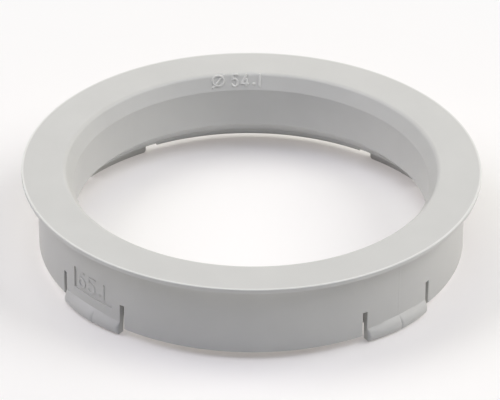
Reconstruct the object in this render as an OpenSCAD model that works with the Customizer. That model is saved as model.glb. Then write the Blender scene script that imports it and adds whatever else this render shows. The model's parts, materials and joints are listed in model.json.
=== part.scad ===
// Hub centric ring: a moulded plastic spacer ring that centres a wheel on a vehicle hub.
// One piece: a flange with a lead-in cone, a bore, a seat wall and four clip tabs with beads.
// Millimetres. Z is the ring's axis, the clip tabs stand on z = 0 and the flange is on top.

/* [Bore] */
// diameter of the bore that fits over the hub
bore_d = 54.1; // [50:0.1:56]
// length of the straight bore
bore_len = 6.2; // [3:0.1:7]
// how far the lead-in cone widens the bore on each side at the flange top
cone_w = 1.35; // [0.8:0.05:2.5]
// depth of the lead-in cone
cone_h = 2.3; // [1:0.1:3.5]

/* [Ring] */
// thickness from the bore to the seat wall, the outer wall that enters the wheel
wall_t = 5.5; // [4.5:0.05:8]
// height from the flange top to the bottom of the ring between the tabs
ring_h = 12.7; // [12:0.1:16]
// thickness of the foot, the lip at the bottom of the seat wall
foot_t = 1.3; // [1.05:0.05:1.8]
// how far the foot reaches below the rest of the ring
foot_h = 1.13; // [0.5:0.01:1.5]
// width of the flat step inside the foot
step_w = 1.25; // [0.8:0.05:1.6]
// height of the straight face between that step and the inner taper
step_h = 0.38; // [0.2:0.02:1]
// chamfer on the outer bottom edge
foot_chamfer = 0.3; // [0.1:0.05:0.5]

/* [Flange] */
// how far the flange stands out past the seat wall
flange_w = 2.45; // [1.5:0.05:4]
// thickness of the flange
flange_t = 0.7; // [0.6:0.05:1.5]
// radius on the upper rim of the flange
rim_r = 0.22; // [0.1:0.02:0.3]
// fillet between the underside of the flange and the seat wall
neck_r = 0.3; // [0.1:0.05:0.6]

/* [Clip tabs] */
// angle that a tab takes up on the ring, in degrees
tab_angle = 21.4; // [14:0.2:30]
// how far a tab reaches below the ring
tab_drop = 1.1; // [0.5:0.1:1.6]
// thickness of a tab at its bottom
tab_t = 0.8; // [0.7:0.05:1]
// how much thicker a tab is at its top, where it bends
tab_root = 0.35; // [0.1:0.05:0.5]
// chamfer on the two bottom corners of a tab
tab_corner = 0.45; // [0.2:0.05:0.8]
// width of the slit on each side of a tab
slit_w = 0.76; // [0.5:0.02:1.2]
// distance from the flange top to the top of the slits
slit_top = 8.45; // [7.5:0.05:10]
// radial width of the pocket behind a tab, at its bottom
pocket_w = 1.05; // [0.8:0.05:1.2]
// angle by which the pocket runs past the tab on each side, in degrees
pocket_over = 3.2; // [2.6:0.1:6]

/* [Beads] */
// how far a bead stands out from the seat wall at its middle
bead_out = 0.92; // [0.4:0.02:1.2]
// share of that left at the two ends of a bead
bead_ends = 0.6; // [0.4:0.05:1]
// rounding on the lower edge of a bead, which leads it into the wheel
bead_lead = 1; // [0.5:0.05:1.2]
// height of the upright nose above that
bead_nose = 0.05; // [0:0.05:0.5]
// height of the sloping shoulder above the nose
bead_shoulder = 1.5; // [0.8:0.1:1.9]

/* [Panel] */
// width of the sunk panel above one bead
panel_w = 8.4; // [6:0.1:10]
// height of the sunk panel
panel_h = 3.55; // [2:0.05:4]
// depth of the sunk panel
panel_deep = 0.25; // [0.1:0.05:0.35]
// distance from the flange top to the top of the sunk panel
panel_top = 6.15; // [4:0.05:7]

/* [Hidden] */
$fn = 96;
// facets of the turned forms, where a full circle is drawn as a polygon
turn_fn = 180;
// angles of the four tabs, and of the panel, which sits over the third one
tab_at = [45, 135, 225, 315];
panel_at = 225.6;
// how far the cutting shapes overshoot, and how deep a bead and a tab root into the wall
over = 1;
root = 0.3;
degrees_per_radian = 180 / PI;

bore_r = bore_d / 2;
cone_r = bore_r + cone_w;
seat_r = bore_r + wall_t;
flange_r = seat_r + flange_w;
foot_r = seat_r - foot_t;
step_r = foot_r - step_w;
top_z = ring_h + tab_drop;
foot_z = tab_drop;
cone_z = top_z - cone_h;
bore_z = cone_z - bore_len;
step_z = foot_z + foot_h;
taper_z = step_z + step_h;
under_z = top_z - flange_t;
slit_z = top_z - slit_top;
slit_angle = slit_w / seat_r * degrees_per_radian;
sector = tab_angle + slit_angle;
pocket_sector = tab_angle + 2 * pocket_over;
pocket_out = seat_r - tab_t;
pocket_in = pocket_out - pocket_w;
panel_sector = panel_w / seat_r * degrees_per_radian;
panel_z = top_z - panel_top - panel_h;
bead_r = seat_r + bead_out;
bead_h = bead_lead + bead_nose + bead_shoulder;
// a bead is turned about an axis of its own, further out, so that it thins towards its ends
bead_end_r = seat_r + bead_out * bead_ends;
bead_axis = (bead_r * bead_r - bead_end_r * bead_end_r) / (2 * (bead_r - bead_end_r * cos(sector / 2)));
bead_turn_r = bead_r - bead_axis;
bead_turn = 80;
// points of the rounded forms, from the bottom up
neck = [for (a = [180, 150, 120, 90])
    [seat_r + neck_r + neck_r * cos(a), under_z - neck_r + neck_r * sin(a)]];
rim = [for (a = [0 : 22.5 : 90])
    [flange_r - rim_r + rim_r * cos(a), top_z - rim_r + rim_r * sin(a)]];
lead = [for (a = [-90 : 22.5 : 0])
    [bead_turn_r - bead_lead + bead_lead * cos(a), bead_lead + bead_lead * sin(a)]];
shoulder = [for (u = [0 : 0.25 : 1])
    [bead_turn_r - bead_out * u * u, bead_h - bead_shoulder * (1 - u)]];

// the turned section of the ring, without its tabs
module section() {
    polygon(concat(
        [[bore_r, bore_z], [step_r, taper_z], [step_r, step_z], [foot_r, step_z], [foot_r, foot_z]],
        [[seat_r - foot_chamfer, foot_z], [seat_r, foot_z + foot_chamfer]],
        neck,
        [[flange_r, under_z]],
        rim,
        [[cone_r, top_z], [bore_r, cone_z]]));
}

module body() {
    rotate_extrude($fn = turn_fn) section();
}

// an upright sector of a ring, centred on the angle at
module wedge(at, angle, r_in, r_out, z_low, z_high) {
    rotate([0, 0, at - angle / 2])
        rotate_extrude(angle = angle, $fn = turn_fn)
            polygon([[r_in, z_low], [r_out, z_low], [r_out, z_high], [r_in, z_high]]);
}

// the section of a bead about its own axis: a rounded edge, an upright nose and a shoulder
module bead_section() {
    inner = bead_turn_r - bead_out - 2 * over;
    polygon(concat([[inner, 0]], lead, shoulder, [[inner, bead_h]]));
}

module bead(at) {
    intersection() {
        wedge(at, sector, seat_r - root, bead_r + over, -over, bead_h + over);
        rotate([0, 0, at])
            translate([bead_axis, 0, 0])
                rotate([0, 0, -bead_turn / 2])
                    rotate_extrude(angle = bead_turn, $fn = turn_fn) bead_section();
    }
}

// a tab still joined to the ring, before its pocket and its slits are cut
module tab(at) {
    wedge(at, sector, pocket_in, seat_r, 0, slit_z + root);
    bead(at);
}

// the pocket behind a tab, whose outer wall leans in towards the top
module pocket(at) {
    rotate([0, 0, at - pocket_sector / 2])
        rotate_extrude(angle = pocket_sector, $fn = turn_fn)
            polygon([[pocket_in, -over], [pocket_out, -over], [pocket_out, 0],
                [pocket_out - tab_root, slit_z], [pocket_in, slit_z]]);
}

// the two slits that free a tab, and the chamfers on its bottom corners
module slits(at) {
    length = bead_r + over - pocket_in;
    corner = tab_corner * sqrt(2);
    for (side = [-1, 1])
        rotate([0, 0, at + side * sector / 2])
            translate([pocket_in, 0, 0]) {
                translate([0, -slit_w / 2, -over])
                    cube([length, slit_w, slit_z + over]);
                translate([0, -side * slit_w / 2, 0])
                    rotate([45, 0, 0])
                        translate([0, -corner / 2, -corner / 2])
                            cube([length, corner, corner]);
            }
}

module panel() {
    wedge(panel_at, panel_sector, seat_r - panel_deep, seat_r + over, panel_z, panel_z + panel_h);
}

module ring() {
    color([0.80, 0.80, 0.78])
        difference() {
            union() {
                body();
                for (at = tab_at) tab(at);
            }
            for (at = tab_at) {
                pocket(at);
                slits(at);
            }
            panel();
        }
}

ring();
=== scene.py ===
import json
from math import asin, atan2, ceil, cos, degrees, exp, pi, radians, sin, sqrt, tan

import bmesh
import bpy
from mathutils import Matrix, Vector


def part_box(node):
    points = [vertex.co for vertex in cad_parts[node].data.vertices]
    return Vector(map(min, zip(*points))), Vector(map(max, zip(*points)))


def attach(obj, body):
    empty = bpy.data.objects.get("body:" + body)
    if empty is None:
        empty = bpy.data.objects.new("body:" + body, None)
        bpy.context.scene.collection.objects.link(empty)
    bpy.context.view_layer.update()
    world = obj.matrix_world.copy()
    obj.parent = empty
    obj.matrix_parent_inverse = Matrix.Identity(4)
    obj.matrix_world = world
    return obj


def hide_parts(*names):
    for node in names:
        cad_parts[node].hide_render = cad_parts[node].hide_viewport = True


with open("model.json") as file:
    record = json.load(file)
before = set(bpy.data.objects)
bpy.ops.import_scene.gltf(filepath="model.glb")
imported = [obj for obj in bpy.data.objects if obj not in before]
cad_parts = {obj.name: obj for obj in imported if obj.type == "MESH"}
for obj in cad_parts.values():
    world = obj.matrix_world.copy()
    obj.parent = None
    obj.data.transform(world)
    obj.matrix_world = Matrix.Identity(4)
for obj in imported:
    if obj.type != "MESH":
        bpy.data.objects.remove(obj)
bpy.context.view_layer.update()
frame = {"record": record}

MM = 0.001

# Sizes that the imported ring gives, in millimetres
mounts = {m["name"]: m for m in frame["record"]["mounts"]}
ring_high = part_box("ring")[1]
TOP_Z = ring_high.z / MM
FLANGE_R = ring_high.x / MM
UNDER_Z = mounts["flange_underside"]["pos_m"][2] / MM
SEAT_R = mounts["seat"]["dims"]["r_mm"]
BORE_R = mounts["bore"]["dims"]["r_mm"]
BORE_MID_Z = mounts["bore"]["pos_m"][2] / MM
BORE_LEN = mounts["bore"]["dims"]["length_mm"]

# The other sizes of the moulding, in millimetres and degrees
CONE_W = 1.35
FOOT_T = 1.3
FOOT_H = 1.13
STEP_W = 1.25
STEP_H = 0.38
FOOT_CHAMFER = 0.3
NECK_R = 0.3
TAB_AT = [45, 135, 225, 315]
TAB_ANGLE = 21.4
TAB_DROP = 1.1
TAB_T = 0.8
TAB_ROOT = 0.35
TAB_CORNER = 0.45
SLIT_W = 0.76
SLIT_TOP = 8.45
POCKET_W = 1.05
POCKET_OVER = 3.2
BEAD_OUT = 0.92
BEAD_ENDS = 0.6
BEAD_LEAD = 1.0
BEAD_NOSE = 0.05
BEAD_SHOULDER = 1.5
PANEL_AT = 225.6
PANEL_W = 8.4
PANEL_H = 3.55
PANEL_DEEP = 0.25
PANEL_TOP = 6.15

BORE_Z = BORE_MID_Z - BORE_LEN / 2
CONE_Z = BORE_MID_Z + BORE_LEN / 2
CONE_H = TOP_Z - CONE_Z
CONE_R = BORE_R + CONE_W
FOOT_R = SEAT_R - FOOT_T
STEP_R = FOOT_R - STEP_W
STEP_Z = TAB_DROP + FOOT_H
BEAD_H = BEAD_LEAD + BEAD_NOSE + BEAD_SHOULDER
SLIT_Z = TOP_Z - SLIT_TOP
SECTOR = TAB_ANGLE + degrees(SLIT_W / SEAT_R)
POCKET_HALF = TAB_ANGLE / 2 + POCKET_OVER
POCKET_OUT = SEAT_R - TAB_T
POCKET_IN = POCKET_OUT - POCKET_W
PANEL_HALF = degrees(PANEL_W / SEAT_R) / 2
PANEL_R = SEAT_R - PANEL_DEEP
PANEL_HIGH = TOP_Z - PANEL_TOP
PANEL_LOW = PANEL_HIGH - PANEL_H

# A bead is turned about its own axis, so that it thins towards its ends
BEAD_R = SEAT_R + BEAD_OUT
BEAD_END_R = SEAT_R + BEAD_OUT * BEAD_ENDS
BEAD_AXIS = (BEAD_R ** 2 - BEAD_END_R ** 2) / (2 * (BEAD_R - BEAD_END_R * cos(radians(SECTOR / 2))))
BEAD_TURN_R = BEAD_R - BEAD_AXIS

# Small traces of the mould. Each tab has one, so many degrees from its middle: a groove across its
# bead, a step beyond which the bead is lower, or both, as shares of the bead's height
BEAD_TRACES = {45: (0.0, 0.2, 0.0), 135: (0.0, 0.2, 0.0), 225: (2.0, 0.12, 0.12), 315: (-0.2, 0.2, 0.0)}
TRACE_WIDE = 0.32
STEP_SHARPNESS = 8
# The parting line that runs down the wall to the trace, on the tabs with no panel above them
SEAM_HIGH = 0.035
SEAM_WIDE = 0.25
SEAM_AT = [45, 135, 315]

# How finely the ring is divided round its axis, in degrees, and more finely either side of a trace
STEP = 1.25
FINE_STEP = 0.1
FINE_HALF = 0.8
# What a rounding error may add to a number of steps, which brings no further step
SPARE_STEP = 1e-6

# Radii of the rounded edges
RIM_R = 0.12
MOUTH_R = 0.85
BORE_EDGE_R = 0.4
BORE_END_R = 0.2
UNDER_EDGE_R = 0.12
WALL_EDGE_R = 0.07
BEAD_EDGE_R = 0.5

# How far the columns that carry the rounding beside a slit lie from it, on the tab and on the wall
TAB_COLUMNS = [0, 0.01, 0.03, 0.07, 0.13, 0.2, 0.28, 0.36, 0.45, 0.55]
WALL_COLUMNS = [0, 0.01, 0.03, 0.07]

# Edges sharper than this stay sharp in the shading, in degrees. Elsewhere faces are blended, and the
# large ones count most, at a weight from 1 to 100.
SHARP_ANGLE = 28
LARGE_FACE_WEIGHT = 100


def turn_from(at, azimuth):
    """The signed angle from at to azimuth, in degrees."""
    return (azimuth - at + 180) % 360 - 180


def arc_points(prefix, centre_r, centre_z, radius, start, end, steps):
    """Named points of an arc in the section, as a list of (name, (r, z))."""
    made = []
    for i in range(steps + 1):
        a = radians(start + (end - start) * i / steps)
        made.append((f"{prefix}{i}", (centre_r + radius * cos(a), centre_z + radius * sin(a))))
    return made


def rounded(prefix, before, corner, after, radius, steps):
    """Named points of the arc that rounds a corner of the section, like arc_points."""
    corner = Vector(corner)
    to_before = (Vector(before) - corner).normalized()
    to_after = (Vector(after) - corner).normalized()
    half = to_before.angle(to_after) / 2
    centre = corner + (to_before + to_after).normalized() * radius / sin(half)
    start = corner + to_before * radius / tan(half) - centre
    end = corner + to_after * radius / tan(half) - centre
    first = degrees(atan2(start.y, start.x))
    turn = turn_from(first, degrees(atan2(end.y, end.x)))
    return arc_points(prefix, centre.x, centre.y, radius, first, first + turn, steps)


# The section of the ring: named points in (r, z), and the regions that they bound
neck = arc_points("neck", SEAT_R + NECK_R, UNDER_Z - NECK_R, NECK_R, start=180, end=90, steps=5)
rim = arc_points("rim", FLANGE_R - RIM_R, TOP_Z - RIM_R, RIM_R, start=0, end=90, steps=6)
lead = arc_points("lead", BEAD_TURN_R - BEAD_LEAD, BEAD_LEAD, BEAD_LEAD, start=-90, end=0, steps=5)
SHOULDER_STEPS = 8
shoulder = []
for i in range(SHOULDER_STEPS + 1):
    u = i / SHOULDER_STEPS
    shoulder.append((f"shoulder{i}", (BEAD_TURN_R - BEAD_OUT * u * u, BEAD_H - BEAD_SHOULDER * (1 - u))))
taper_end = (STEP_R, STEP_Z + STEP_H)
bore_low = (BORE_R, BORE_Z)
bore_high = (BORE_R, CONE_Z)
cone_high = (CONE_R, TOP_Z)
flange_low = (FLANGE_R, UNDER_Z)
flange_high = (FLANGE_R, TOP_Z)
bore_end = rounded("bore_end", bore_high, bore_low, taper_end, BORE_END_R, steps=4)
under = rounded("under", (SEAT_R, UNDER_Z), flange_low, flange_high, UNDER_EDGE_R, steps=4)
mouth = rounded("mouth", flange_high, cone_high, bore_high, MOUTH_R, steps=8)
bore_edge = rounded("bore_edge", cone_high, bore_high, bore_low, BORE_EDGE_R, steps=4)
pocket_foot_r = POCKET_OUT - TAB_ROOT * TAB_DROP / SLIT_Z

SECTION = {
    "taper_end": taper_end,
    "step_in": (STEP_R, STEP_Z),
    "step_mid": (POCKET_IN, STEP_Z),
    "step_out": (FOOT_R, STEP_Z),
    "pocket_in": (POCKET_IN, SLIT_Z),
    "pocket_out": (POCKET_OUT - TAB_ROOT, SLIT_Z),
    "foot_in": (FOOT_R, TAB_DROP),
    "foot_mid": (pocket_foot_r, TAB_DROP),
    "foot_out": (SEAT_R - FOOT_CHAMFER, TAB_DROP),
    "foot_side": (SEAT_R, TAB_DROP + FOOT_CHAMFER),
    "tab_foot": (POCKET_OUT, 0.0),
    "panel_low_in": (PANEL_R, PANEL_LOW),
    "panel_low": (SEAT_R, PANEL_LOW),
    "panel_mid_in": (PANEL_R, SLIT_Z),
    "slit_edge": (SEAT_R, SLIT_Z - WALL_EDGE_R),
    "seat_mid": (SEAT_R, SLIT_Z),
    "panel_top_in": (PANEL_R, PANEL_HIGH),
    "panel_top": (SEAT_R, PANEL_HIGH),
    **dict(bore_end + neck + under + rim + mouth + bore_edge),
}
BEAD_POINTS = dict(lead[:-1] + shoulder)
# Points on the seat wall, which carry the parting line, and those that are rounded beside a slit
ON_WALL = {"foot_side", "panel_low", "slit_edge", "seat_mid", "panel_top", "neck0"}
BESIDE_SLIT = {"foot_side", "panel_low", "slit_edge"}


def names(points):
    return [name for name, place in points]


REGIONS = {
    "core": [*names(bore_end), "taper_end", "step_in", "step_mid", "pocket_in", "pocket_out",
             "panel_mid_in", "panel_top_in", "panel_top", *names(neck), *names(under), *names(rim),
             *names(mouth), *names(bore_edge)],
    "panel_upper": ["panel_mid_in", "seat_mid", "panel_top", "panel_top_in"],
    "panel_lower": ["panel_low_in", "panel_low", "slit_edge", "seat_mid", "panel_mid_in"],
    "wall": ["foot_mid", "foot_out", "foot_side", "panel_low", "panel_low_in", "panel_mid_in", "pocket_out"],
    "tab_wall": ["tab_foot", *names(lead[:-1]), *names(shoulder), "panel_low", "panel_low_in",
                 "panel_mid_in", "pocket_out"],
    "filler": ["step_mid", "step_out", "foot_in", "foot_mid", "pocket_out", "pocket_in"],
}


def nearest_tab(azimuth):
    return min(TAB_AT, key=lambda at: abs(turn_from(at, azimuth)))


def present(azimuth):
    """The regions that hold material at an azimuth between two columns."""
    phi = abs(turn_from(nearest_tab(azimuth), azimuth))
    half_slit = degrees(asin(SLIT_W / 2 / SEAT_R))
    found = {"core"}
    if abs(turn_from(PANEL_AT, azimuth)) > PANEL_HALF:
        found.add("panel_upper")
    if phi < SECTOR / 2 - half_slit:
        found.add("tab_wall")
    elif phi > SECTOR / 2 + half_slit:
        found.add("wall")
    if found & {"tab_wall", "wall"} and "panel_upper" in found:
        found.add("panel_lower")
    if phi > POCKET_HALF:
        found.add("filler")
    return found


def slit_side(slit, offset, r):
    """The azimuth at radius r of a plane parallel to a slit, so far from the slit's middle."""
    return slit + degrees(asin(offset / r))


def columns():
    """The azimuths of the ring's columns. One that is parallel to a slit carries (slit, offset)."""
    marks = {PANEL_AT - PANEL_HALF: None, PANEL_AT + PANEL_HALF: None}
    for at in TAB_AT:
        for side in (-1, 1):
            marks[at + side * POCKET_HALF] = None
            marks[at + BEAD_TRACES[at][0] + side * FINE_HALF] = None
            slit = at + side * SECTOR / 2
            offsets = [-side * (SLIT_W / 2 + away) for away in TAB_COLUMNS]
            offsets += [side * (SLIT_W / 2 + away) for away in WALL_COLUMNS]
            for offset in offsets:
                marks[slit_side(slit, offset, SEAT_R)] = (slit, offset)
    angles = sorted(marks)
    made = []
    for start, end in zip(angles, angles[1:] + [angles[0] + 360]):
        middle = (start + end) / 2
        at = nearest_tab(middle)
        fine = abs(turn_from(at + BEAD_TRACES[at][0], middle)) < FINE_HALF
        count = max(1, ceil((end - start) / (FINE_STEP if fine else STEP) - SPARE_STEP))
        for i in range(count):
            made.append((start + (end - start) * i / count, marks[start] if i == 0 else None))
    return made


def beside_slit(phi):
    """How far a column lies from the side of the nearest slit."""
    return max(0, abs(radians(SECTOR / 2 - abs(phi)) * SEAT_R) - SLIT_W / 2)


def round_drop(away, radius):
    """How far an edge of this radius has dropped, so far from the face that it turns down to."""
    return radius - sqrt(max(0, radius ** 2 - max(0, radius - away) ** 2))


def lifted(z, phi):
    """The height of a point of a tab, raised near the tab's ends where its bottom corners are round."""
    return z + round_drop(beside_slit(phi), TAB_CORNER) * max(0, 1 - z / BEAD_LEAD)


def edge_drop(r, phi):
    """How far a point on the outside lies inwards beside a slit, where the edges are round."""
    share = min(1, (r - SEAT_R) / BEAD_EDGE_R)
    radius = WALL_EDGE_R + (BEAD_EDGE_R - WALL_EDGE_R) * share
    return round_drop(beside_slit(phi), radius)


def smooth_bump(share):
    """A bump that is 1 in its middle and about a third at the ends of its width, 0.5 either side."""
    return exp(-(2 * share) ** 2)


def bead_share(at, phi):
    """How much of its height a bead keeps beside the trace of the mould on it."""
    place, groove, step = BEAD_TRACES[at]
    along = radians(phi - place) * SEAT_R / TRACE_WIDE
    return 1 - groove * smooth_bump(along) - step / (1 + exp(-STEP_SHARPNESS * along))


def seam(at, phi):
    """How far the parting line stands out from the wall."""
    if at not in SEAM_AT:
        return 0
    return SEAM_HIGH * smooth_bump(radians(phi - BEAD_TRACES[at][0]) * SEAT_R / SEAM_WIDE)


def section_place(name, azimuth):
    """Where a named point lies at an azimuth, as (r, z)."""
    at = nearest_tab(azimuth)
    phi = turn_from(at, azimuth)
    if name in BEAD_POINTS:
        turn_r, z = BEAD_POINTS[name]
        across = BEAD_AXIS * sin(radians(phi))
        r = BEAD_AXIS * cos(radians(phi)) + sqrt(turn_r ** 2 - across ** 2)
        r = SEAT_R + max(0, r - SEAT_R) * bead_share(at, phi)
        return r - edge_drop(r, phi), lifted(z, phi)
    r, z = SECTION[name]
    if name == "tab_foot":
        z = lifted(z, phi)
    if name in BESIDE_SLIT:
        r -= edge_drop(SEAT_R, phi)
    if name in ON_WALL:
        r += seam(at, phi)
    return r, z


def outline(regions):
    """The directed edges round a set of regions, without those that two of them share."""
    edges = set()
    for region in sorted(regions):
        points = REGIONS[region]
        for a, b in zip(points, points[1:] + points[:1]):
            if (b, a) in edges:
                edges.remove((b, a))
            else:
                edges.add((a, b))
    return edges


def loops(edges):
    """The closed loops that directed edges make, as lists of point names."""
    after = dict(edges)
    found = []
    while after:
        first = min(after)
        loop, name = [], first
        while name in after:
            loop.append(name)
            name = after.pop(name)
        found.append(loop)
    return found


def build_ring():
    """The moulding as one closed mesh: its section swept column by column, with caps at every step."""
    bm = bmesh.new()
    cols = columns()
    placed = {}

    def vertex(index, name):
        index %= len(cols)
        if (index, name) not in placed:
            azimuth, along_slit = cols[index]
            r, z = section_place(name, azimuth)
            if along_slit:
                azimuth = slit_side(*along_slit, r)
            a = radians(azimuth)
            placed[index, name] = bm.verts.new((r * cos(a) * MM, r * sin(a) * MM, z * MM))
        return placed[index, name]

    filled = []
    for index, (azimuth, along_slit) in enumerate(cols):
        following = cols[index + 1][0] if index + 1 < len(cols) else cols[0][0] + 360
        filled.append(present((azimuth + following) / 2))
    for index, here in enumerate(filled):
        for a, b in sorted(outline(here)):
            bm.faces.new([vertex(index, a), vertex(index + 1, a), vertex(index + 1, b), vertex(index, b)])
        before = filled[index - 1]
        for loop in loops(outline(here - before)):
            bm.faces.new([vertex(index, name) for name in loop])
        for loop in loops(outline(before - here)):
            bm.faces.new([vertex(index, name) for name in reversed(loop)])
    bm.normal_update()
    return bm


def add_mesh(bm, name):
    mesh = bpy.data.meshes.new(name)
    bm.to_mesh(mesh)
    bm.free()
    made = bpy.data.objects.new(name, mesh)
    bpy.context.scene.collection.objects.link(made)
    return made


def apply_modifiers(made):
    """Puts the result of an object's modifiers into its mesh."""
    evaluated = made.evaluated_get(bpy.context.evaluated_depsgraph_get())
    mesh = bpy.data.meshes.new_from_object(evaluated)
    made.modifiers.clear()
    old, made.data = made.data, mesh
    mesh.name = made.name
    bpy.data.meshes.remove(old)


def make_ring():
    made = add_mesh(build_ring(), "moulded_ring")
    made.data.shade_smooth()
    made.data.set_sharp_from_angle(angle=radians(SHARP_ANGLE))
    normals = made.modifiers.new("normals", "WEIGHTED_NORMAL")
    normals.weight = LARGE_FACE_WEIGHT
    normals.keep_sharp = True
    apply_modifiers(made)
    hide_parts("ring")
    return made


def curve(cx, cy, rx, ry, start=0, end=360, steps=14):
    """Points along an ellipse or a part of it, from one angle to another in degrees."""
    turns = [radians(start + (end - start) * i / steps) for i in range(steps + 1)]
    return [(cx + rx * cos(a), cy + ry * sin(a)) for a in turns]


# Raised figures, as strokes in a box 1 wide and 1 high
GLYPHS = {
    "o": [curve(0.5, 0.5, 0.5, 0.5, steps=28), [(-0.02, -0.12), (1.02, 1.14)]],
    "1": [[(0.5, 0.0), (0.5, 1.0)]],
    "4": [[(0.82, 1.0), (0.0, 0.2), (1.0, 0.2)], [(0.8, 0.6), (0.8, 0.0)]],
    "5": [[(0.95, 1.0), (0.1, 1.0), (0.05, 0.55), *curve(0.42, 0.32, 0.5, 0.32, start=118, end=-150)]],
    "6": [curve(0.5, 0.3, 0.48, 0.3, steps=28),
          [(0.02, 0.3), *curve(0.72, 0.42, 0.7, 0.58, start=180, end=88, steps=10)]],
    ".": [curve(0.5, 0.18, 0.07, 0.04)],
}
# Each stroke is round, as a ball cutter leaves it in the mould, and sunk a little into the surface
STROKE_R = 0.19
STROKE_SUNK = 0.02
STROKE_SIDES = 16
BALL_DETAIL = 2
# The strokes are fused on a grid of this size, and its steps are smoothed out
VOXEL = 0.03
SMOOTHING = 0.5
SMOOTHING_ROUNDS = 4


def figures(name, text, place):
    """Raised figures as one closed mesh. text holds (glyph, left, base, width, height) in millimetres,
    and place turns (x, y, depth) of the surface into a point of the row frame."""
    bm = bmesh.new()
    for glyph, left, base, width, height in text:
        for stroke in GLYPHS[glyph]:
            points = [place(left + x * width, base + y * height, STROKE_SUNK) for x, y in stroke]
            for point in points:
                bmesh.ops.create_icosphere(bm, subdivisions=BALL_DETAIL, radius=STROKE_R * MM,
                                           matrix=Matrix.Translation(point))
            for a, b in zip(points, points[1:]):
                along = b - a
                turn = along.to_track_quat("Z", "Y").to_matrix().to_4x4()
                bmesh.ops.create_cone(bm, cap_ends=True, segments=STROKE_SIDES, radius1=STROKE_R * MM,
                                      radius2=STROKE_R * MM, depth=along.length,
                                      matrix=Matrix.Translation((a + b) / 2) @ turn)
    made = add_mesh(bm, name)
    remesh = made.modifiers.new("union", "REMESH")
    remesh.mode = "VOXEL"
    remesh.voxel_size = VOXEL * MM
    remesh.use_smooth_shade = True
    smooth = made.modifiers.new("smooth", "SMOOTH")
    smooth.factor = SMOOTHING
    smooth.iterations = SMOOTHING_ROUNDS
    apply_modifiers(made)
    return made


def on_cone(centre):
    """Places figures on the lead-in cone, read from inside the ring, upright towards the flange."""
    slant = sqrt(CONE_W ** 2 + CONE_H ** 2)

    def place(x, y, depth):
        r = BORE_R + CONE_W * y / slant + CONE_H / slant * depth
        z = min(CONE_Z + CONE_H * y / slant - CONE_W / slant * depth, TOP_Z - STROKE_R)
        a = radians(centre) - x / BORE_R
        return Vector((r * cos(a), r * sin(a), z)) * MM
    return place


def on_panel(x, y, depth):
    """Places figures on the floor of the sunk panel, read from outside."""
    r = PANEL_R - depth
    a = radians(PANEL_AT) + x / PANEL_R
    return Vector((r * cos(a), r * sin(a), PANEL_LOW + y)) * MM


# The bore's diameter and the seat wall's, each glyph with its left, base, width and height. The first
# stands on the cone round this azimuth, the second in the sunk panel.
BORE_TEXT_AT = 96.9
BORE_TEXT = [
    ("o", -3.92, 0.8, 1.76, 1.64),
    ("5", -0.85, 0.62, 0.86, 1.85),
    ("4", 0.6, 0.62, 0.92, 1.85),
    (".", 1.97, 0.62, 1.0, 1.85),
    ("1", 2.87, 0.62, 1.0, 1.85),
]
SEAT_TEXT = [
    ("6", -3.2, 0.6, 1.5, 2.4),
    ("5", -0.95, 0.6, 1.5, 2.4),
    (".", 0.9, 0.6, 1.0, 2.4),
    ("1", 1.85, 0.6, 1.0, 2.4),
]


class Graph:
    """The node tree of a material or a world, with short calls that each add a node."""

    def __init__(self, tree):
        self.tree = tree

    def node(self, kind, inputs, **settings):
        """Adds a node. An input is given by its name or number, as a value or as another node's output."""
        made = self.tree.nodes.new(kind)
        for name, value in settings.items():
            setattr(made, name, value)
        for name, value in inputs.items():
            self.feed(value, made.inputs[name])
        return made

    def feed(self, value, socket):
        if isinstance(value, bpy.types.NodeSocket):
            self.tree.links.new(value, socket)
        else:
            socket.default_value = value

    def math(self, operation, first, second):
        return self.node("ShaderNodeMath", {0: first, 1: second}, operation=operation).outputs["Value"]

    def length(self, vector):
        return self.node("ShaderNodeVectorMath", {0: vector}, operation="LENGTH").outputs["Value"]

    def ramp(self, value, start, end, low=0.0, high=1.0, kind="SMOOTHSTEP"):
        """Goes from low to high while value goes from start to end."""
        inputs = {"Value": value, "From Min": start, "From Max": end, "To Min": low, "To Max": high}
        return self.node("ShaderNodeMapRange", inputs, interpolation_type=kind).outputs["Result"]

    def mix_colours(self, factor, first, second):
        inputs = {"Factor": factor, "A": first, "B": second}
        return self.node("ShaderNodeMix", inputs, data_type="RGBA").outputs["Result"]

    def mix_shaders(self, factor, first, second):
        return self.node("ShaderNodeMixShader", {0: factor, 1: first, 2: second}).outputs["Shader"]

    def diffuse(self, colour):
        return self.node("ShaderNodeBsdfDiffuse", {"Color": (*colour, 1)}).outputs["BSDF"]

    def glow(self, colour):
        return self.node("ShaderNodeEmission", {"Color": (*colour, 1)}).outputs["Emission"]


# The plastic: light grey, satin, with a fine grain and a slight unevenness from moulding
PLASTIC = (0.632, 0.625, 0.603)
PLASTIC_DARK = (0.604, 0.598, 0.577)
PLASTIC_IOR = 1.46
ROUGHNESS_LOW = 0.42
ROUGHNESS_HIGH = 0.52
# Painted highlights: a lighter colour where light catches the upper rim of the flange and the figures in the
# bore
PAINTED_HIGHLIGHT = (0.77, 0.762, 0.738)
HIGHLIGHT_WIDE = 0.4
HIGHLIGHT_HIGH = 0.18
# Sizes of the soft clouds in the colour, of the grain and of the waves, and the heights of the last two
CLOUD_SIZE = 9
GRAIN_SIZE = 0.32
WAVE_SIZE = 4.5
GRAIN_HIGH = 0.006
WAVE_HIGH = 0.012
# The part of a noise's range that is spread over what it drives
NOISE_LOW = 0.3
NOISE_HIGH = 0.7


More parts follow.
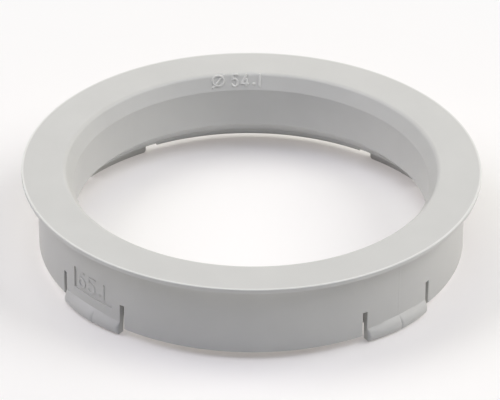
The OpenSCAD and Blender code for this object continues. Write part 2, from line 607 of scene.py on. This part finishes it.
def rim_highlight_mask(graph, place):
    """A value that is 1 on the upper rim of the flange, where the painted highlight goes, and 0 elsewhere.
    """
    across = graph.node("ShaderNodeVectorMath", {0: place, 1: (1, 1, 0)}, operation="MULTIPLY")
    reach = graph.length(across.outputs["Vector"])
    height = graph.node("ShaderNodeSeparateXYZ", {"Vector": place}).outputs["Z"]
    outer = graph.ramp(reach, (FLANGE_R - HIGHLIGHT_WIDE) * MM, (FLANGE_R - HIGHLIGHT_WIDE / 2) * MM)
    upper = graph.ramp(height, (TOP_Z - HIGHLIGHT_HIGH) * MM, (TOP_Z - HIGHLIGHT_HIGH / 2) * MM)
    return graph.math("MULTIPLY", outer, upper)


def plastic_material(name, light, dark):
    """Satin plastic of two close colours that blend in soft clouds, with a painted highlight along the rim.
    """
    material = bpy.data.materials.new(name)
    material.use_nodes = True
    graph = Graph(material.node_tree)
    shader = material.node_tree.nodes["Principled BSDF"]
    place = graph.node("ShaderNodeTexCoord", {}).outputs["Object"]

    def noise(size, detail, roughness=0.5):
        inputs = {"Vector": place, "Scale": 1 / (size * MM), "Detail": detail, "Roughness": roughness}
        return graph.node("ShaderNodeTexNoise", inputs).outputs["Fac"]

    def spread(value, low, high):
        return graph.ramp(value, NOISE_LOW, NOISE_HIGH, low, high, kind="LINEAR")

    cloud = noise(CLOUD_SIZE, detail=4)
    grain = noise(GRAIN_SIZE, detail=3, roughness=0.6)
    wave = noise(WAVE_SIZE, detail=2)
    colour = graph.mix_colours(spread(cloud, 0, 1), (*dark, 1), (*light, 1))
    # A painted highlight: the upper rim of the flange is coloured lighter
    colour = graph.mix_colours(rim_highlight_mask(graph, place), colour, (*PAINTED_HIGHLIGHT, 1))
    broad = graph.node("ShaderNodeBump", {"Height": wave, "Distance": WAVE_HIGH * MM, "Strength": 1.0})
    fine = graph.node("ShaderNodeBump", {"Height": grain, "Distance": GRAIN_HIGH * MM, "Strength": 1.0,
                                         "Normal": broad.outputs["Normal"]})
    graph.feed(colour, shader.inputs["Base Color"])
    graph.feed(spread(grain, ROUGHNESS_LOW, ROUGHNESS_HIGH), shader.inputs["Roughness"])
    graph.feed(fine.outputs["Normal"], shader.inputs["Normal"])
    shader.inputs["IOR"].default_value = PLASTIC_IOR
    return material


# The stage: a pale floor that keeps the ring's shadow and fades to white, and a white surround.
# The floor lights the ring with its own colour. What is seen of it has a share of that colour, and a
# glow that lightens the shadows.
FLOOR_COLOUR = (0.93, 0.925, 0.925)
FLOOR_SHOWN = 0.81
FLOOR_GLOW = (0.232, 0.213, 0.203)
FLOOR_HALF = 3.0
FADE_START = 0.035
FADE_END = 0.125
BACKGROUND = (0.955, 0.955, 0.955)
WHITE = (1, 1, 1, 1)


def seen_directly(graph):
    """A value that is 1 for what the camera sees, also in a reflection or through glass, and else 0."""
    path = graph.node("ShaderNodeLightPath", {}).outputs
    mirrored = graph.math("MAXIMUM", path["Is Camera Ray"], path["Is Glossy Ray"])
    return graph.math("MAXIMUM", mirrored, path["Is Transmission Ray"])


def clear_from_below(graph, surface):
    """Makes a surface see-through for the camera from below, so that the ring's underside shows."""
    back = graph.node("ShaderNodeNewGeometry", {}).outputs["Backfacing"]
    camera = graph.node("ShaderNodeLightPath", {}).outputs["Is Camera Ray"]
    clear = graph.node("ShaderNodeBsdfTransparent", {}).outputs["BSDF"]
    return graph.mix_shaders(graph.math("MULTIPLY", back, camera), surface, clear)


def floor_material():
    material = bpy.data.materials.new("floor_white")
    material.use_nodes = True
    nodes = material.node_tree.nodes
    nodes.remove(nodes["Principled BSDF"])
    graph = Graph(material.node_tree)
    lit = graph.diffuse([FLOOR_SHOWN * value for value in FLOOR_COLOUR])
    shown = graph.node("ShaderNodeAddShader", {0: lit, 1: graph.glow(FLOOR_GLOW)}).outputs["Shader"]
    reach = graph.length(graph.node("ShaderNodeTexCoord", {}).outputs["Object"])
    faded = graph.mix_shaders(graph.ramp(reach, FADE_START, FADE_END), shown, graph.glow(BACKGROUND))
    surface = graph.mix_shaders(seen_directly(graph), graph.diffuse(FLOOR_COLOUR), faded)
    graph.feed(clear_from_below(graph, surface), nodes["Material Output"].inputs["Surface"])
    return material


def make_floor():
    bm = bmesh.new()
    bmesh.ops.create_grid(bm, x_segments=1, y_segments=1, size=FLOOR_HALF)
    floor = add_mesh(bm, "floor")
    floor.data.materials.append(floor_material())


def make_world():
    """A white surround that is seen, also in a reflection, and gives no light of any other kind."""
    world = bpy.data.worlds.new("surround")
    bpy.context.scene.world = world
    world.use_nodes = True
    graph = Graph(world.node_tree)
    background = world.node_tree.nodes["Background"]
    background.inputs["Color"].default_value = WHITE
    graph.feed(seen_directly(graph), background.inputs["Strength"])


# Soft round lamps: azimuth and elevation in degrees, the brightness that a white surface facing the
# lamp gets from it, and the lamp's colour
LAMPS = [
    ("right", 0, 45, 0.600, (1.0, 0.986, 0.967)),
    ("left", 180, 45, 0.450, (0.969, 0.943, 1.0)),
    ("right_back", 45, 18, 0.198, (1.0, 0.962, 0.872)),
    ("high_back", 135, 66, 0.265, (1.0, 1.0, 0.834)),
    ("high_front", -90, 66, 0.167, (0.642, 0.743, 1.0)),
]
LAMP_DISTANCE = 0.9
LAMP_SIZE = 0.7


def make_lamps():
    for name, azimuth, elevation, level, colour in LAMPS:
        a, e = radians(azimuth), radians(elevation)
        away = Vector((cos(a) * cos(e), sin(a) * cos(e), sin(e)))
        data = bpy.data.lights.new(name, "AREA")
        data.shape = "DISK"
        data.size = LAMP_SIZE
        data.energy = level * pi ** 2 * LAMP_DISTANCE ** 2
        data.color = colour
        lamp = bpy.data.objects.new(name, data)
        lamp.location = away * LAMP_DISTANCE
        lamp.rotation_euler = away.to_track_quat("Z", "Y").to_euler()
        bpy.context.scene.collection.objects.link(lamp)


# The camera, as fitted to the ring's edges in the photograph of 500 by 400 pixels. Its angles are in
# degrees and its distance from the middle of the ring's top is in millimetres.
IMAGE_W = 500
CAMERA_AZIMUTH = -87.8
CAMERA_ELEVATION = 31.011
CAMERA_DISTANCE = 637.06
CAMERA_ROLL = 0.442
FOCAL_PIXELS = 4184.9
SENSOR_MM = 36.0
# How far right of the picture's middle, and above it, the middle of the ring's top is seen
RING_RIGHT_PIXELS = 1.57
RING_UP_PIXELS = 34.31
# The nearest and the furthest that the camera sees, in metres
SEEN_FROM = 0.01
SEEN_TO = 20


def make_camera():
    a, e = radians(CAMERA_AZIMUTH), radians(CAMERA_ELEVATION)
    back = Vector((cos(a) * cos(e), sin(a) * cos(e), sin(e)))
    right = Vector((0, 0, 1)).cross(back).normalized()
    up = back.cross(right)
    roll = Matrix.Rotation(radians(CAMERA_ROLL), 3, back)
    right, up = roll @ right, roll @ up
    centre = Vector((0, 0, TOP_Z))
    pixel = CAMERA_DISTANCE / FOCAL_PIXELS
    location = centre + back * CAMERA_DISTANCE
    aim = centre - right * RING_RIGHT_PIXELS * pixel - up * RING_UP_PIXELS * pixel
    away = (location - aim).normalized()
    right = up.cross(away).normalized()
    up = away.cross(right)
    data = bpy.data.cameras.new("camera")
    data.sensor_width = SENSOR_MM
    data.lens = FOCAL_PIXELS * SENSOR_MM / IMAGE_W
    data.clip_start = SEEN_FROM
    data.clip_end = SEEN_TO
    camera = bpy.data.objects.new("camera", data)
    bpy.context.scene.collection.objects.link(camera)
    turn = Matrix((right, up, away)).transposed()
    camera.matrix_world = Matrix.Translation(location * MM) @ turn.to_4x4()
    bpy.context.scene.camera = camera


make_camera()
make_world()
make_lamps()
make_floor()

plastic = plastic_material("satin_plastic", PLASTIC, PLASTIC_DARK)
# The figures in the bore get a lighter colour, a painted highlight on their raised strokes
rubbed_plastic = plastic_material("rubbed_plastic", PAINTED_HIGHLIGHT, PLASTIC)
pieces = [
    (make_ring(), plastic),
    (figures("bore_size_figures", BORE_TEXT, on_cone(BORE_TEXT_AT)), rubbed_plastic),
    (figures("seat_size_figures", SEAT_TEXT, on_panel), plastic),
]
for piece, material in pieces:
    piece.data.materials.clear()
    piece.data.materials.append(material)
    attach(piece, "root")

bpy.context.scene.view_settings.view_transform = "Standard"
